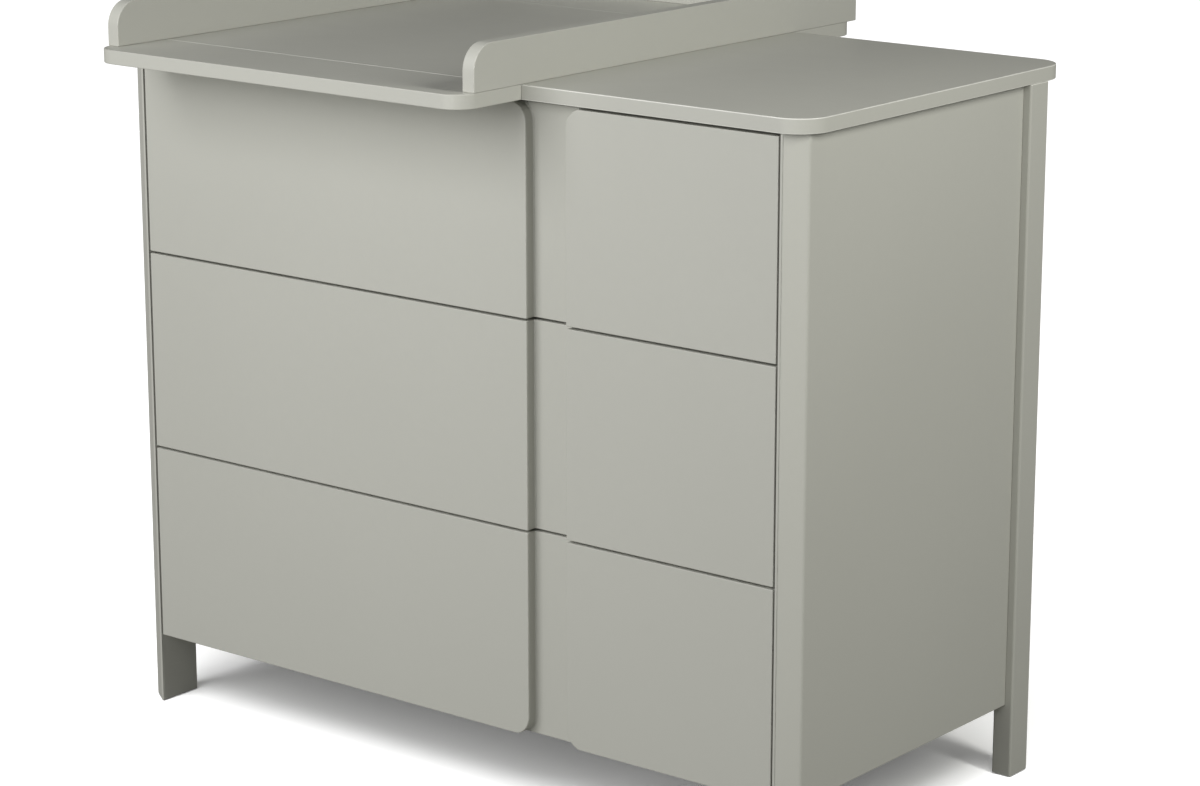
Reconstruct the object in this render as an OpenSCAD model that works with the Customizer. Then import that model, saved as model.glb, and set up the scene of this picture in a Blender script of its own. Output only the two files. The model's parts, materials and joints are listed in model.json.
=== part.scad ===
// Changing table: a chest of three full-width drawers with a fixed changing tray on its top board.
// Millimetres. +X runs along the front to the right, +Y to the back, +Z up.
// The origin is on the floor, under the middle of the whole outline.

/* [Top board] */
// Width of the top board
top_w = 1082; // [1000:1:1180]
// Depth of the top board
top_d = 550; // [540:1:580]
// Height of the changing surface above the floor
top_z = 900; // [880:1:920]
// Thickness of the top board and of the tray's boards
board_t = 18; // [16:1:20]
// Radius of the top board's corners
top_corner_r = 40; // [20:1:60]
// How far the top board's front edge stands before the drawer fronts
top_nose = 4; // [1:0.5:8]

/* [Cabinet] */
// Thickness of a side panel
side_t = 28; // [26:1:30]
// Depth of a side panel
side_d = 462; // [458:1:470]
// How far a side panel's outer face stands inside the top board's end
side_set = 10; // [8:1:12]
// Clear height under the cabinet
body_z = 95; // [80:1:110]
// Depth of the front leg, which is part of the side panel
front_leg_d = 65; // [55:1:80]
// Width of the facet down the side panel's front outer edge, across the front
facet_w = 26; // [16:1:26]
// Depth of the same facet, along the side
facet_d = 17; // [12:1:20]
// Width of a rear leg, across the back
rear_leg_w = 28; // [26:1:32]
// Depth of a rear leg, front to back
rear_leg_d = 40; // [34:1:44]
// Radius of a rear leg's long edges
rear_leg_r = 3; // [1:0.5:5]
// Thickness of the two top rails
rail_t = 18; // [16:1:20]
// Depth of the two top rails
rail_d = 80; // [70:1:90]
// Thickness of the cabinet's bottom
bottom_t = 16; // [14:1:17]
// Thickness of the back panel
back_t = 4; // [3:0.5:5]
// Thickness of the glides under the legs
glide_t = 1.5; // [1:0.5:3]

/* [Drawers] */
// Gap round the drawer fronts
front_gap = 3; // [2:0.5:4]
// Gap between the top drawer front and the top board
top_gap = 4; // [3:0.5:6]
// Thickness of a drawer front
front_t = 28; // [26:1:30]
// Width of the finger channel
channel_w = 60; // [50:1:70]
// Depth of the finger channel
channel_d = 15; // [13:1:16]
// Distance of the finger channel's middle to the right of the cabinet's middle
channel_x = 166; // [150:1:180]
// Radius at the foot of the finger channel's walls
channel_foot_r = 2; // [1:0.5:7]
// Radius of the raised panels' corners at the channel's two ends
panel_corner_r = 25; // [15:1:30]
// Height of a drawer box
box_h = 190; // [170:1:195]
// Length of a drawer box
box_d = 400; // [380:5:405]
// Thickness of a drawer box's sides and back
box_t = 12; // [12:1:14]
// Thickness of a drawer box's bottom
box_bottom_t = 6; // [5:0.5:7]

/* [Runners] */
// Width of a runner, from the side panel to the drawer box
runner_w = 12.7; // [12.7:0.1:13.5]
// Height of a runner
runner_h = 45.4; // [44:0.2:47]
// Length of a runner
runner_l = 400; // [380:5:405]
// Thickness of the runner's steel
runner_t = 1.2; // [1:0.1:1.3]

/* [Changing tray] */
// Width of the changing tray
tray_w = 604; // [580:1:620]
// Depth of the changing tray, front to back
tray_d = 798; // [780:1:820]
// Distance of the tray's middle to the left of the cabinet's middle
tray_x = 168; // [160:1:180]
// How far the tray stands before the top board
tray_nose = 110; // [90:1:120]
// Height of the guards above the changing surface
guard_h = 56; // [45:1:70]
// How far the guards' front ends stand behind the tray's front edge
guard_set = 25; // [15:1:35]
// Radius of the guards' front top corners
guard_r = 32; // [20:1:40]
// Radius of the tray's outer corners
tray_corner_r = 30; // [20:1:40]

/* [Hidden] */

// Colours
lacquer = [0.72, 0.72, 0.69];
steel = [0.70, 0.71, 0.72];
beech = [0.80, 0.66, 0.48];
glide_grey = [0.35, 0.35, 0.34];

// Smoothness of drilled holes and of large corner radii
hole_fn = 24;
arc_fn = 64;
// How far a cutting shape runs past the face it cuts
past = 1;
// Difference in radius between a fastener and its hole
ease = 0.05;

// Planes of the cabinet
top_under = top_z - board_t;
top_front_y = tray_nose - tray_d / 2;
top_rear_y = top_front_y + top_d;
face_y = top_front_y + top_nose;
side_rear_y = face_y + side_d;
front_back_y = face_y + front_t;
rear_leg_x = top_w / 2;
side_x = top_w / 2 - side_set;
inner_x = side_x - side_t;
inner_w = 2 * inner_x;
rear_leg_rear_y = side_rear_y + rear_leg_d;

// Drawers, numbered from the top
front_w = inner_w - 2 * front_gap;
front_h = (top_under - body_z - top_gap - 2 * front_gap) / 3;
front_pitch = front_h + front_gap;
function front_z(i) = body_z + (2 - i) * front_pitch;
box_rise = 22;
function box_z(i) = front_z(i) + box_rise;
box_x = inner_x - runner_w;
box_rear_y = front_back_y + box_d;
groove_d = 6;
box_bottom_rise = 10;
groove_play = 0.15;

// Rails and bottom stand a little behind the drawer fronts
rail_set = 5;
bottom_set = 3;
rail_y = front_back_y + rail_set;
bottom_y = front_back_y + bottom_set;

// Dowels
dowel_d = 8;
dowel_l = 30;
box_dowel_d = 6;
box_dowel_l = 26;
// Depth of a front dowel in the drawer front
box_dowel_in = 10;
// What stays whole outside a back dowel's blind end
box_dowel_skin = 3;
// Where the cabinet's dowels stand: [y, z]
rail_dowel_in = 20;
rail_dowel_z = top_under - rail_t / 2;
bottom_dowel_ins = [30, 150, 290, 403];
bottom_dowel_z = body_z + bottom_t / 2;
cabinet_dowel_yz = [
    for (y = [rail_y, side_rear_y - rail_d])
        for (in = [rail_dowel_in, rail_d - rail_dowel_in]) [y + in, rail_dowel_z],
    for (in = bottom_dowel_ins) [bottom_y + in, bottom_dowel_z]
];
// Where a drawer box's dowels stand, above the box's lower edge
front_dowel_rises = [35, 70, 155];
back_dowel_rises = [50, 150];

// Pan-head screws
pan_d = 4;
pan_head_d = 8;
pan_head_h = 1.6;
pan_l = 12;
// The screws in the thin drawer sides are shorter
box_screw_l = 10;

// Connecting screws
joint_d = 6;
joint_head_d = 10;
joint_head_h = 5;
leg_screw_l = 70;
leg_screw_x = (rear_leg_x - rear_leg_w + side_x) / 2;
leg_screw_zs = [140, 480, 820];
tray_screw_l = 45;

// Top board screws, through the two top rails
top_screw_l = rail_t + pan_l;
top_screw_xs = [-400, 0, 400];
top_screw_ys = [rail_y + rail_d / 2, side_rear_y - rail_d / 2];

// Back panel
back_play = 0.3;
back_in = 2;
back_x = rear_leg_x - rear_leg_w - back_play;
back_low_z = body_z + back_in;
back_high_z = top_under - back_in;
back_screw_x = (inner_x + back_x) / 2;
back_edge_zs = [150, 330, 510, 690, 840];
back_edge_xs = [-400, -135, 135, 400];

// Glides: [x, y] on the right
glide_r = 10;
glide_side_in = 13;
glide_front_in = 42;
glide_xy = [
    [inner_x + glide_side_in, face_y + glide_front_in],
    [rear_leg_x - rear_leg_w / 2, side_rear_y + rear_leg_d / 2]
];

// Runner sections: play between the rails, and what each is narrower and lower than the next
rail_clear = 0.8;
head_clear = 0.6;
middle_web = runner_t + pan_head_h + head_clear;
rail_lip = 1.5;
small_lip = 0.2;
rail_step = 10;
rail_end_clear = 1.5;
rail_box_clear = 2;
middle_h = runner_h - rail_step;
drawer_rail_h = middle_h - rail_step;
runner_rise = 95;
function runner_z(i) = box_z(i) + runner_rise;
runner_set = 2;
runner_y = front_back_y + runner_set;
runner_screw_ins = [35, 190, 350];

// Changing tray
tray_left = -tray_x - tray_w / 2;
tray_right = -tray_x + tray_w / 2;
tray_front_y = -tray_d / 2;
tray_rear_y = tray_d / 2;
guard_front_y = tray_front_y + guard_set;
left_guard_x = tray_left + board_t / 2;
right_guard_x = tray_right - board_t / 2;
back_guard_y = tray_rear_y - board_t / 2;
// Screws up through the strips into the guards: [x, y]
front_strip_screw_ins = [45, 90];
rear_strip_screw_ins = [30, 88];
back_guard_screw_xs = [-132, 0, 132];
tray_screw_xy = [
    for (x = [left_guard_x, right_guard_x]) each [
        for (in = front_strip_screw_ins) [x, tray_front_y + in],
        for (in = rear_strip_screw_ins) [x, top_rear_y + in]
    ],
    for (x = back_guard_screw_xs) [x - tray_x, back_guard_y]
];

// Plates under the joint between the top board and the tray's rear strip
plate_w = 40;
plate_l = 80;
plate_t = 2;
bracket_out = 212;
bracket_xs = [-tray_x - bracket_out, -tray_x + bracket_out];
plate_hole_ys = [-30, -10, 10, 30];

// Wall brackets
bracket_w = 60;
bracket_flange = 30;
bracket_drop = 42;
bracket_hole_x = 18;
wall_hole_d = 5.5;
wall_hole_drop = 24;

// ---------------------------------------------------------------- shared shapes

// A rectangle with round corners, its middle at the origin
module rounded_outline(w, d, r) {
    square([w - 2 * r, d], center = true);
    square([w, d - 2 * r], center = true);
    for (x = [-1, 1], y = [-1, 1])
        translate([x * (w / 2 - r), y * (d / 2 - r)]) circle(r = r, $fn = arc_fn);
}

// What a round corner takes off a square corner that points to +X +Y
module corner_waste(r) {
    difference() {
        translate([-r, -r]) square(r + past);
        translate([-r, -r]) circle(r = r, $fn = arc_fn);
    }
}

// A screw that stands on z = 0, with its head below
module pan_screw(length) {
    cylinder(d = pan_d - 2 * ease, h = length, $fn = hole_fn);
    translate([0, 0, -pan_head_h]) cylinder(d = pan_head_d, h = pan_head_h, $fn = hole_fn);
}

module pan_hole(length) {
    translate([0, 0, -past]) cylinder(d = pan_d, h = length + 2 * past, $fn = hole_fn);
}

// A connecting screw with its head let in flush with z = 0
module joint_screw(length) {
    cylinder(d = joint_head_d - 2 * ease, h = joint_head_h, $fn = hole_fn);
    cylinder(d = joint_d - 2 * ease, h = length, $fn = hole_fn);
}

module joint_hole(length) {
    translate([0, 0, -past]) cylinder(d = joint_head_d, h = joint_head_h + past, $fn = hole_fn);
    cylinder(d = joint_d, h = length + past, $fn = hole_fn);
}

// A dowel with its middle at the origin, along +X
module dowel(d, length) {
    rotate([0, 90, 0]) cylinder(d = d - 2 * ease, h = length - 2 * ease, center = true, $fn = hole_fn);
}

module dowel_hole(d, length) {
    rotate([0, 90, 0]) cylinder(d = d, h = length, center = true, $fn = hole_fn);
}

// ---------------------------------------------------------------- where the fasteners go

// Both ends of the rails and the bottom, at the side panels' inner faces
module at_cabinet_dowels(sides = [-1, 1]) {
    for (side = sides, yz = cabinet_dowel_yz) translate([side * inner_x, yz[0], yz[1]]) children();
}

// Screws that run forward from the rear legs into the side panels
module at_leg_screws(sides = [-1, 1]) {
    for (side = sides, z = leg_screw_zs)
        translate([side * leg_screw_x, rear_leg_rear_y, z]) rotate([90, 0, 0]) children();
}

module at_top_screws() {
    for (x = top_screw_xs, y = top_screw_ys) translate([x, y, top_under - rail_t]) children();
}

module at_back_screws() {
    for (side = [-1, 1], z = back_edge_zs)
        translate([side * back_screw_x, side_rear_y + back_t, z]) rotate([90, 0, 0]) children();
    for (x = back_edge_xs, z = [bottom_dowel_z, rail_dowel_z])
        translate([x, side_rear_y + back_t, z]) rotate([90, 0, 0]) children();
}

module at_tray_screws() {
    for (xy = tray_screw_xy) translate([xy[0], xy[1], top_under]) children();
}

module at_plate_screws() {
    for (x = bracket_xs, y = plate_hole_ys) translate([x, top_rear_y + y, top_under - plate_t]) children();
}

module at_bracket_screws() {
    for (x = bracket_xs, side = [-1, 1])
        translate([x + side * bracket_hole_x, tray_rear_y - bracket_flange / 2, top_under - plate_t])
            children();
}

// Screws from inside the cabinet rails, out into the side panels
module at_cabinet_rail_screws(sides = [-1, 1]) {
    for (side = sides, i = [0:2], in = runner_screw_ins)
        translate([side * (inner_x - runner_t), runner_y + in, runner_z(i)])
            rotate([0, side * 90, 0]) children();
}

// Screws from inside the drawer rails, in through the box sides
module at_drawer_rail_screws(i, sides = [-1, 1]) {
    for (side = sides, in = runner_screw_ins)
        translate([side * (box_x + runner_t), runner_y + in, runner_z(i)])
            rotate([0, -side * 90, 0]) children();
}

// Dowels between a drawer front and the box sides
module at_front_dowels(i, sides = [-1, 1]) {
    y = front_back_y - box_dowel_in + box_dowel_l / 2;
    for (side = sides, rise = front_dowel_rises)
        translate([side * (box_x - box_t / 2), y, box_z(i) + rise]) rotate([0, 0, 90]) children();
}

// Dowels between the box sides and the box back
module at_back_dowels(i, sides = [-1, 1]) {
    x = box_x - box_dowel_skin - box_dowel_l / 2;
    for (side = sides, rise = back_dowel_rises)
        translate([side * x, box_rear_y - box_t / 2, box_z(i) + rise]) children();
}

// ---------------------------------------------------------------- cabinet

module top_board() {
    color(lacquer) difference() {
        translate([0, (top_front_y + top_rear_y) / 2, top_under])
            linear_extrude(height = board_t) rounded_outline(top_w, top_d, top_corner_r);
        at_top_screws() translate([0, 0, rail_t]) pan_hole(top_screw_l - rail_t);
        at_plate_screws() pan_hole(pan_l);
    }
}

// One board from the floor to the top board, cut away behind the leg
module side_panel() {
    difference() {
        translate([inner_x, face_y, glide_t]) cube([side_t, side_d, top_under - glide_t]);
        translate([inner_x - past, face_y + front_leg_d, glide_t - past])
            cube([side_t + 2 * past, side_d, body_z - glide_t + past]);
        linear_extrude(height = top_under + past) polygon([
            [side_x - facet_w, face_y], [side_x - facet_w, face_y - past],
            [side_x + past, face_y - past], [side_x + past, face_y + facet_d], [side_x, face_y + facet_d]
        ]);
        at_cabinet_dowels([1]) dowel_hole(dowel_d, dowel_l);
        at_leg_screws([1]) joint_hole(leg_screw_l);
        at_back_screws() pan_hole(pan_l);
        at_cabinet_rail_screws([1]) pan_hole(pan_l);
    }
}

module right_side_panel() { color(lacquer) side_panel(); }

module left_side_panel() { color(lacquer) mirror([1, 0, 0]) side_panel(); }

module rear_leg() {
    difference() {
        translate([rear_leg_x - rear_leg_w / 2, side_rear_y + rear_leg_d / 2, glide_t])
            linear_extrude(height = top_under - glide_t) rounded_outline(rear_leg_w, rear_leg_d, rear_leg_r);
        at_leg_screws([1]) joint_hole(leg_screw_l);
    }
}

module rear_right_leg() { color(lacquer) rear_leg(); }

module rear_left_leg() { color(lacquer) mirror([1, 0, 0]) rear_leg(); }

module back_panel() {
    color(lacquer) difference() {
        translate([-back_x, side_rear_y, back_low_z]) cube([2 * back_x, back_t, back_high_z - back_low_z]);
        at_back_screws() pan_hole(pan_l);
    }
}

module bottom_panel() {
    color(lacquer) difference() {
        translate([-inner_x, bottom_y, body_z]) cube([inner_w, side_rear_y - bottom_y, bottom_t]);
        at_cabinet_dowels() dowel_hole(dowel_d, dowel_l);
        at_back_screws() pan_hole(pan_l);
    }
}

module top_rail(y) {
    difference() {
        translate([-inner_x, y, top_under - rail_t]) cube([inner_w, rail_d, rail_t]);
        at_cabinet_dowels() dowel_hole(dowel_d, dowel_l);
        at_top_screws() pan_hole(top_screw_l);
        at_back_screws() pan_hole(pan_l);
    }
}

module front_top_rail() { color(lacquer) top_rail(rail_y); }

module rear_top_rail() { color(lacquer) top_rail(side_rear_y - rail_d); }

module leg_glides() {
    color(glide_grey) for (side = [-1, 1], xy = glide_xy)
        translate([side * xy[0], xy[1], 0]) cylinder(r = glide_r, h = glide_t, $fn = arc_fn);
}

module leg_screws() { color(steel) at_leg_screws() joint_screw(leg_screw_l); }

module top_screws() { color(steel) at_top_screws() pan_screw(top_screw_l); }

module cabinet_dowels() { color(beech) at_cabinet_dowels() dowel(dowel_d, dowel_l); }

module back_panel_screws() { color(steel) at_back_screws() pan_screw(pan_l); }

// Pan-head screws of the runners, the plates and the wall brackets
module cabinet_screws() {
    color(steel) {
        at_cabinet_rail_screws() pan_screw(pan_l);
        at_plate_screws() pan_screw(pan_l);
        at_bracket_screws() pan_screw(pan_l);
    }
}

// ---------------------------------------------------------------- changing tray

// A strip level with the top board, with its two outer corners rounded
module tray_strip(near_y, far_y) {
    depth = abs(far_y - near_y);
    difference() {
        translate([tray_left, min(near_y, far_y), top_under]) cube([tray_w, depth, board_t]);
        for (side = [-1, 1]) translate([-tray_x + side * tray_w / 2, far_y, top_under - past])
            linear_extrude(height = board_t + 2 * past)
                mirror([side < 0 ? 1 : 0, 0]) mirror([0, far_y < 0 ? 1 : 0]) corner_waste(tray_corner_r);
        at_tray_screws() joint_hole(tray_screw_l);
        at_plate_screws() pan_hole(pan_l);
        at_bracket_screws() pan_hole(pan_l);
    }
}

module tray_front_strip() { color(lacquer) tray_strip(top_front_y, tray_front_y); }

module tray_rear_strip() { color(lacquer) tray_strip(top_rear_y, tray_rear_y); }

// A guard stands on edge from near the tray's front to its back
module tray_guard(x) {
    difference() {
        translate([x - board_t / 2, guard_front_y, top_z])
            cube([board_t, tray_rear_y - guard_front_y, guard_h]);
        translate([x + board_t, guard_front_y, top_z + guard_h]) rotate([90, 0, -90])
            linear_extrude(height = 2 * board_t) corner_waste(guard_r);
        at_tray_screws() joint_hole(tray_screw_l);
    }
}

module tray_left_guard() { color(lacquer) tray_guard(left_guard_x); }

module tray_right_guard() { color(lacquer) tray_guard(right_guard_x); }

module tray_back_guard() {
    color(lacquer) difference() {
        translate([tray_left + board_t, tray_rear_y - board_t, top_z])
            cube([tray_w - 2 * board_t, board_t, guard_h]);
        at_tray_screws() joint_hole(tray_screw_l);
    }
}

module tray_screws() { color(steel) at_tray_screws() joint_screw(tray_screw_l); }

module tray_plates() {
    color(steel) difference() {
        for (x = bracket_xs) translate([x - plate_w / 2, top_rear_y - plate_l / 2, top_under - plate_t])
            cube([plate_w, plate_l, plate_t]);
        at_plate_screws() pan_hole(pan_l);
    }
}

// Angles that hold the tray's rear edge to a wall
module wall_brackets() {
    color(steel) difference() {
        for (x = bracket_xs) {
            translate([x - bracket_w / 2, tray_rear_y - bracket_flange, top_under - plate_t])
                cube([bracket_w, bracket_flange, plate_t]);
            translate([x - bracket_w / 2, tray_rear_y - plate_t, top_under - bracket_drop])
                cube([bracket_w, plate_t, bracket_drop]);
        }
        at_bracket_screws() pan_hole(pan_l);
        for (x = bracket_xs, side = [-1, 1])
            translate([x + side * bracket_hole_x, tray_rear_y + past, top_under - wall_hole_drop])
                rotate([90, 0, 0]) cylinder(d = wall_hole_d, h = plate_t + 2 * past, $fn = hole_fn);
    }
}

// ---------------------------------------------------------------- drawers

// Plan of the finger channel: two walls, each with a hollow foot, and a flat floor
module channel_outline() {
    flat = channel_w - 2 * channel_foot_r;
    translate([-channel_w / 2, -past]) square([channel_w, channel_d - channel_foot_r + past]);
    translate([-flat / 2, 0]) square([flat, channel_d]);
    for (side = [-1, 1])
        translate([side * flat / 2, channel_d - channel_foot_r]) circle(r = channel_foot_r, $fn = arc_fn);
}

// A raised panel's round corner, which spreads into the channel's floor at its foot
module raised_corner() {
    spread_r = panel_corner_r + channel_foot_r;
    rotate([-90, 0, 0]) rotate_extrude($fn = arc_fn) difference() {
        translate([0, -2 * past]) square([spread_r, channel_d + 2 * past]);
        translate([panel_corner_r, -3 * past]) square([spread_r, channel_d - channel_foot_r + 3 * past]);
        translate([spread_r, channel_d - channel_foot_r]) circle(r = channel_foot_r, $fn = arc_fn);
    }
}

// The channel's end, where it widens between two raised corners. The origin is at the corners' height
module channel_end() {
    corner_x = channel_w / 2 + panel_corner_r;
    difference() {
        translate([-corner_x, -past, 0]) cube([2 * corner_x, channel_d + past, panel_corner_r + past]);
        for (side = [-1, 1]) translate([side * corner_x, 0, 0]) raised_corner();
    }
}

// What the channel takes off drawer front i, with its origin at the front's lower edge
module channel(i) {
    low = i == 2 ? panel_corner_r : -past;
    high = i == 0 ? front_h - panel_corner_r : front_h + past;
    translate([0, 0, low]) linear_extrude(height = high - low) channel_outline();
    if (i == 0) translate([0, 0, high]) channel_end();
    if (i == 2) translate([0, 0, low]) mirror([0, 0, 1]) channel_end();
}

module drawer_front(i) {
    difference() {
        translate([-front_w / 2, face_y, front_z(i)]) cube([front_w, front_t, front_h]);
        translate([channel_x, face_y, front_z(i)]) channel(i);
        translate([-box_x + box_t - groove_d, front_back_y - groove_d, box_z(i) + box_bottom_rise])
            cube([2 * (box_x - box_t + groove_d), groove_d + past, box_bottom_t]);
        at_front_dowels(i) dowel_hole(box_dowel_d, box_dowel_l);
    }
}

// The right side of a drawer box
module drawer_side(i) {
    difference() {
        translate([box_x - box_t, front_back_y, box_z(i)]) cube([box_t, box_d, box_h]);
        translate([box_x - box_t - past, front_back_y - past, box_z(i) + box_bottom_rise])
            cube([groove_d + past, box_d + 2 * past, box_bottom_t]);
        at_front_dowels(i, [1]) dowel_hole(box_dowel_d, box_dowel_l);
        at_back_dowels(i, [1]) dowel_hole(box_dowel_d, box_dowel_l);
        at_drawer_rail_screws(i, [1]) pan_hole(box_screw_l);
    }
}

module drawer_back(i) {
    rise = box_bottom_rise + box_bottom_t;
    difference() {
        translate([-box_x + box_t, box_rear_y - box_t, box_z(i) + rise])
            cube([2 * (box_x - box_t), box_t, box_h - rise]);
        at_back_dowels(i) dowel_hole(box_dowel_d, box_dowel_l);
    }
}

// The bottom slides in from behind, in the grooves of the front and the sides
module drawer_bottom(i) {
    reach = box_x - box_t + groove_d - groove_play;
    translate([-reach, front_back_y - groove_d + groove_play, box_z(i) + box_bottom_rise])
        cube([2 * reach, box_d + groove_d - groove_play, box_bottom_t]);
}

module drawer_dowels(i) {
    at_front_dowels(i) dowel(box_dowel_d, box_dowel_l);
    at_back_dowels(i) dowel(box_dowel_d, box_dowel_l);
}

module drawer_screws(i) { at_drawer_rail_screws(i) pan_screw(box_screw_l); }

// ---------------------------------------------------------------- runners

// Section of a rolled rail: its web at x = 0, its two flanges towards +X with lips turned in
function rail_section(height, depth, lip) = [
    [0, -height / 2], [depth, -height / 2], [depth, -height / 2 + runner_t + lip],
    [depth - runner_t, -height / 2 + runner_t + lip], [depth - runner_t, -height / 2 + runner_t],
    [runner_t, -height / 2 + runner_t], [runner_t, height / 2 - runner_t],
    [depth - runner_t, height / 2 - runner_t], [depth - runner_t, height / 2 - runner_t - lip],
    [depth, height / 2 - runner_t - lip], [depth, height / 2], [0, height / 2]
];

// A rail on the right side, from runner_y back. Its web stands at web_x and its flanges point along way
module rail_on_right(i, web_x, way, height, depth, lip) {
    translate([web_x, runner_y + runner_l, runner_z(i)]) rotate([90, 0, 0])
        linear_extrude(height = runner_l)
            polygon([for (p = rail_section(height, depth, lip)) [way * p[0], p[1]]]);
}

// Fixed to the side panel, open towards the drawer
module cabinet_rail(i) {
    difference() {
        rail_on_right(i, inner_x, -1, runner_h, runner_w - rail_box_clear, rail_lip);
        at_cabinet_rail_screws([1]) pan_hole(pan_l);
    }
}

// Runs between the other two, open towards the drawer
module middle_rail(i) {
    rail_on_right(i, inner_x - middle_web, -1, middle_h, runner_w - middle_web - rail_end_clear, small_lip);
}

// Fixed to the drawer box, open towards the cabinet
module drawer_rail(i) {
    difference() {
        rail_on_right(i, box_x, 1, drawer_rail_h, runner_w - middle_web - runner_t - rail_clear, small_lip);
        at_drawer_rail_screws(i, [1]) pan_hole(pan_l);
    }
}

module both_sides() {
    children();
    mirror([1, 0, 0]) children();
}

// ---------------------------------------------------------------- the parts

top_board();
left_side_panel();
right_side_panel();
rear_left_leg();
rear_right_leg();
back_panel();
bottom_panel();
front_top_rail();
rear_top_rail();
leg_glides();
leg_screws();
top_screws();
cabinet_dowels();
back_panel_screws();
tray_front_strip();
tray_rear_strip();
tray_left_guard();
tray_right_guard();
tray_back_guard();
tray_screws();
tray_plates();
wall_brackets();
cabinet_screws();
color(lacquer) drawer_front(0);  // top_drawer_front
color(lacquer) mirror([1, 0, 0]) drawer_side(0);  // top_drawer_left_side
color(lacquer) drawer_side(0);  // top_drawer_right_side
color(lacquer) drawer_back(0);  // top_drawer_back
color(lacquer) drawer_bottom(0);  // top_drawer_bottom
color(beech) drawer_dowels(0);  // top_drawer_dowels
color(steel) drawer_screws(0);  // top_drawer_screws
color(lacquer) drawer_front(1);  // middle_drawer_front
color(lacquer) mirror([1, 0, 0]) drawer_side(1);  // middle_drawer_left_side
color(lacquer) drawer_side(1);  // middle_drawer_right_side
color(lacquer) drawer_back(1);  // middle_drawer_back
color(lacquer) drawer_bottom(1);  // middle_drawer_bottom
color(beech) drawer_dowels(1);  // middle_drawer_dowels
color(steel) drawer_screws(1);  // middle_drawer_screws
color(lacquer) drawer_front(2);  // bottom_drawer_front
color(lacquer) mirror([1, 0, 0]) drawer_side(2);  // bottom_drawer_left_side
color(lacquer) drawer_side(2);  // bottom_drawer_right_side
color(lacquer) drawer_back(2);  // bottom_drawer_back
color(lacquer) drawer_bottom(2);  // bottom_drawer_bottom
color(beech) drawer_dowels(2);  // bottom_drawer_dowels
color(steel) drawer_screws(2);  // bottom_drawer_screws
color(steel) mirror([1, 0, 0]) cabinet_rail(0);  // top_left_cabinet_rail
color(steel) cabinet_rail(0);  // top_right_cabinet_rail
color(steel) both_sides() middle_rail(0);  // top_middle_rails
color(steel) mirror([1, 0, 0]) drawer_rail(0);  // top_left_drawer_rail
color(steel) drawer_rail(0);  // top_right_drawer_rail
color(steel) mirror([1, 0, 0]) cabinet_rail(1);  // middle_left_cabinet_rail
color(steel) cabinet_rail(1);  // middle_right_cabinet_rail
color(steel) both_sides() middle_rail(1);  // middle_middle_rails
color(steel) mirror([1, 0, 0]) drawer_rail(1);  // middle_left_drawer_rail
color(steel) drawer_rail(1);  // middle_right_drawer_rail
color(steel) mirror([1, 0, 0]) cabinet_rail(2);  // bottom_left_cabinet_rail
color(steel) cabinet_rail(2);  // bottom_right_cabinet_rail
color(steel) both_sides() middle_rail(2);  // bottom_middle_rails
color(steel) mirror([1, 0, 0]) drawer_rail(2);  // bottom_left_drawer_rail
color(steel) drawer_rail(2);  // bottom_right_drawer_rail
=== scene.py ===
"""Finished surfaces of a changing table: a lacquered chest of drawers with a fixed changing tray."""

import json
import math

import bmesh
import bpy
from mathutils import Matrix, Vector


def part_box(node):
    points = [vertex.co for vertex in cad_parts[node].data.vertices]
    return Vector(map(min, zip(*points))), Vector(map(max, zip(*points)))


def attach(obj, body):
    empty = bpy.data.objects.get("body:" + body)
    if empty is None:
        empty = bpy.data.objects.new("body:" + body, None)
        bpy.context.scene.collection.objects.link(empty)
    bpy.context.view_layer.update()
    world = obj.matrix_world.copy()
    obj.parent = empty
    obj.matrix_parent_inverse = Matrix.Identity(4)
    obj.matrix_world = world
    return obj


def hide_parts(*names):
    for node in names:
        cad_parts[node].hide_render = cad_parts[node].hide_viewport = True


bl_info = {
    "name": "Changing Table",
    "version": (1, 0, 0),
    "blender": (4, 5, 0),
    "location": "3D View > Sidebar > Changing Table",
    "description": "Builds the boards, drawers, runners and fasteners of a lacquered changing table",
    "category": "Add Mesh",
}

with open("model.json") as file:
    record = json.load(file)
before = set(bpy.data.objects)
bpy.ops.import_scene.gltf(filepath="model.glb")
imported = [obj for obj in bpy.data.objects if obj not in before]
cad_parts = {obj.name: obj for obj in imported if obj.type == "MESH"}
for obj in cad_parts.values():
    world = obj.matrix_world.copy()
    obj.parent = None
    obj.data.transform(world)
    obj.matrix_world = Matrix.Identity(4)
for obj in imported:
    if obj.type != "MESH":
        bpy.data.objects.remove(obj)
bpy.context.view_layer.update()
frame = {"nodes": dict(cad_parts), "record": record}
NODE_BODY = {node: body for body, nodes in frame["record"]["behaviour"]["bodies"].items() for node in nodes}
NODE_SLOT = {part["node"]: part["material_slot"] for part in frame["record"]["subparts"]}
TIERS = ("top", "middle", "bottom")
SIDES = ("left", "right")
MM = 0.001
WELD = 0.01 * MM
SHARP = math.radians(28)
FLAT = math.radians(0.5)
TABLE_MIDDLE = Vector((0, 0, 0.55))
FLOOR_REACH = 60
FLOOR_THICKNESS = 0.02


def linear(hex_colour):
    """Scene-linear RGBA of an sRGB hex colour."""
    channels = [int(hex_colour[i:i + 2], 16) / 255 for i in (1, 3, 5)]
    return [c / 12.92 if c <= 0.04045 else ((c + 0.055) / 1.055) ** 2.4 for c in channels] + [1.0]


# ---------------------------------------------------------------- settings

def colour(name, description, hex_colour):
    """A colour setting."""
    return bpy.props.FloatVectorProperty(
        name=name, description=description, subtype="COLOR", size=4, min=0, max=1, default=linear(hex_colour))


def length(name, description, default, least, most):
    """A length setting, given in millimetres."""
    return bpy.props.FloatProperty(
        name=name, description=description, unit="LENGTH",
        default=default * MM, min=least * MM, max=most * MM)


def power(name, description, watts):
    """A lamp's power setting."""
    return bpy.props.FloatProperty(
        name=name, description=description, subtype="POWER", default=watts, min=0)


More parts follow.
